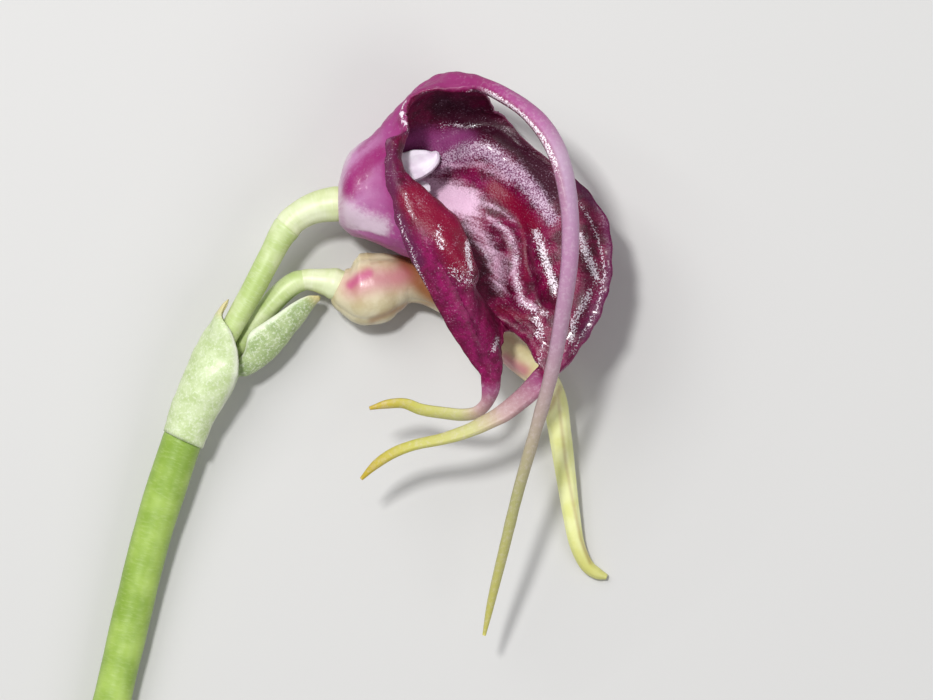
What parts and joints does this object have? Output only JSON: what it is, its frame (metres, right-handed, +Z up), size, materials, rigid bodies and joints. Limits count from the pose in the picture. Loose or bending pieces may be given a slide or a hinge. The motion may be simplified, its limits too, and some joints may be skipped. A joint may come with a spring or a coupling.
{
  "type": "masdevallia orchid",
  "caption": "Cut masdevallia orchid stem lying on its side, with an open long-tailed purple flower and a closed cream bud.",
  "frame": {"origin": "middle of the base of the bounding box, on the surface that the cut stem lies on", "axes": "+Z up from the surface, into the open face of the flower; +Y from the cut end towards the head; +X towards the side that the flower bends to"},
  "size_m": [0.0452, 0.0598, 0.0169],
  "materials": {
    "peduncle": "satin yellow-green skin with fine cross streaks",
    "bract": "thin papery whitish green",
    "pedicel": "satin pale green",
    "ovary": "satin pale green with faint grooves",
    "sepals": "glossy purple-red with a grainy sparkle, pale throat and green to golden tail tips",
    "petals": "smooth waxy white tinged with lilac",
    "lip": "whitish with a purple-brown tip",
    "bud": "cream with a purple mark and brown shading"
  },
  "bodies": {
    "root": {"peduncle": "peduncle", "sheath": "bract", "upper_bract": "bract", "flower_pedicel": "pedicel", "flower_ovary": "ovary", "bud_pedicel": "pedicel", "bud_ovary": "ovary", "flower_sepals": "sepals", "petal_near": "petals", "petal_far": "petals", "column": "petals", "lip": "lip", "bud_sepals": "bud"}
  },
  "joints": []
}
